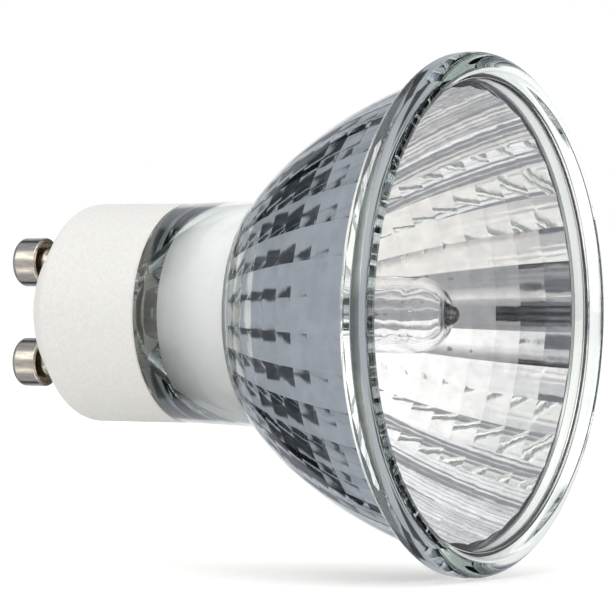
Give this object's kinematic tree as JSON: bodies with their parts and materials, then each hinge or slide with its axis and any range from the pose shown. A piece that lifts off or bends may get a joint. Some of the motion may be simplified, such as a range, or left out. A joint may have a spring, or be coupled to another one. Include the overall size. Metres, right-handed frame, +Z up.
{
  "type": "halogen spotlight bulb",
  "caption": "Mains reflector spotlight bulb: faceted glass reflector with cover disc, quartz capsule and ceramic base with stub contact pins.",
  "frame": {"origin": "centre of the flat rear face of the ceramic base, between the two contact pins", "axes": "+Y along the optical axis towards the contact pins, so the lens faces -Y; +Z up along the line from the lower pin to the upper pin; +X to the right seen from the front"},
  "size_m": [0.05, 0.0532, 0.05],
  "materials": {
    "base_ceramic": "pressed steatite ceramic, warm white, matt with a fine grain",
    "pin_metal": "nickel-plated hollow rivets, satin",
    "cement": "sodium silicate cement, matt off-white",
    "reflector_glass": "pressed borosilicate glass with a faint green tint, clear outside, aluminium mirror coat inside",
    "cover_glass": "clear polished glass disc",
    "bead_silicone": "translucent silicone adhesive",
    "capsule_quartz": "clear quartz, fire-polished",
    "filament_tungsten": "coiled tungsten wire, dark grey",
    "lead_molybdenum": "drawn molybdenum wire and rolled foil",
    "supply_nickel": "nickel wire",
    "fuse_copper": "bare copper fuse wire",
    "sleeve_glass_fibre": "woven glass fibre sleeve, off-white"
  },
  "bodies": {
    "root": {"ceramic_base": "base_ceramic", "contact_pin_upper": "pin_metal", "contact_pin_lower": "pin_metal", "base_cement": "cement", "pinch_cement": "cement", "reflector": "reflector_glass", "cover_glass": "cover_glass", "cover_bead": "bead_silicone", "capsule": "capsule_quartz", "filament": "filament_tungsten", "filament_support": "lead_molybdenum", "inner_lead_upper": "lead_molybdenum", "inner_lead_lower": "lead_molybdenum", "foil_upper": "lead_molybdenum", "foil_lower": "lead_molybdenum", "outer_lead_upper": "lead_molybdenum", "outer_lead_lower": "lead_molybdenum", "fuse_stub": "supply_nickel", "supply_wire_upper": "supply_nickel", "supply_wire_lower": "supply_nickel", "fuse_wire": "fuse_copper", "fuse_sleeve": "sleeve_glass_fibre"}
  },
  "joints": []
}
